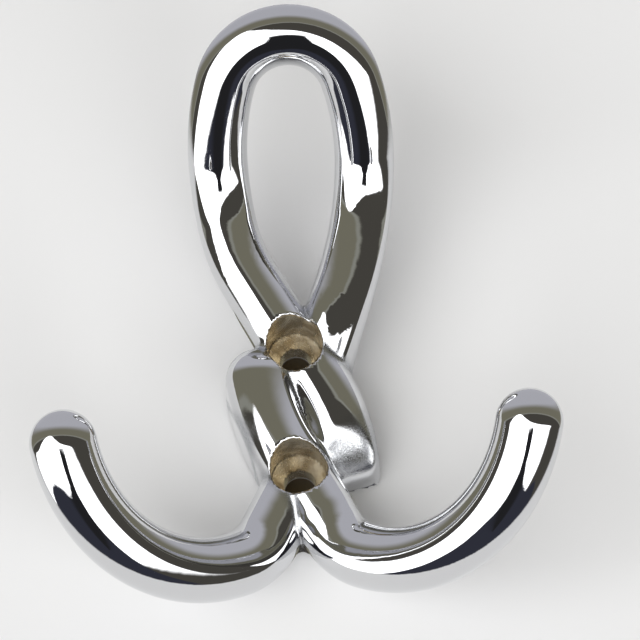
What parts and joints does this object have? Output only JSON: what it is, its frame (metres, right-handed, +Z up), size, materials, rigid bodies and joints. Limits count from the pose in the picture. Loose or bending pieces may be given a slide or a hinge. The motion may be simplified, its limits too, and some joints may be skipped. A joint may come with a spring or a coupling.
{
  "type": "wall hook",
  "caption": "Cast rope-shaped wall hook: an open loop above, a crossed knot with countersunk screw holes, and curled prongs below for coats, towels and bags.",
  "frame": {"origin": "on the flat back, midway between the screw holes", "axes": "+X to the right as seen from the front, +Y into the wall, +Z up"},
  "size_m": [0.0712, 0.0355, 0.0823],
  "materials": {
    "chrome": "polished chrome plating on a zinc die casting, bare brown metal inside the screw holes"
  },
  "bodies": {
    "root": {"hook_body": "chrome"}
  },
  "joints": []
}
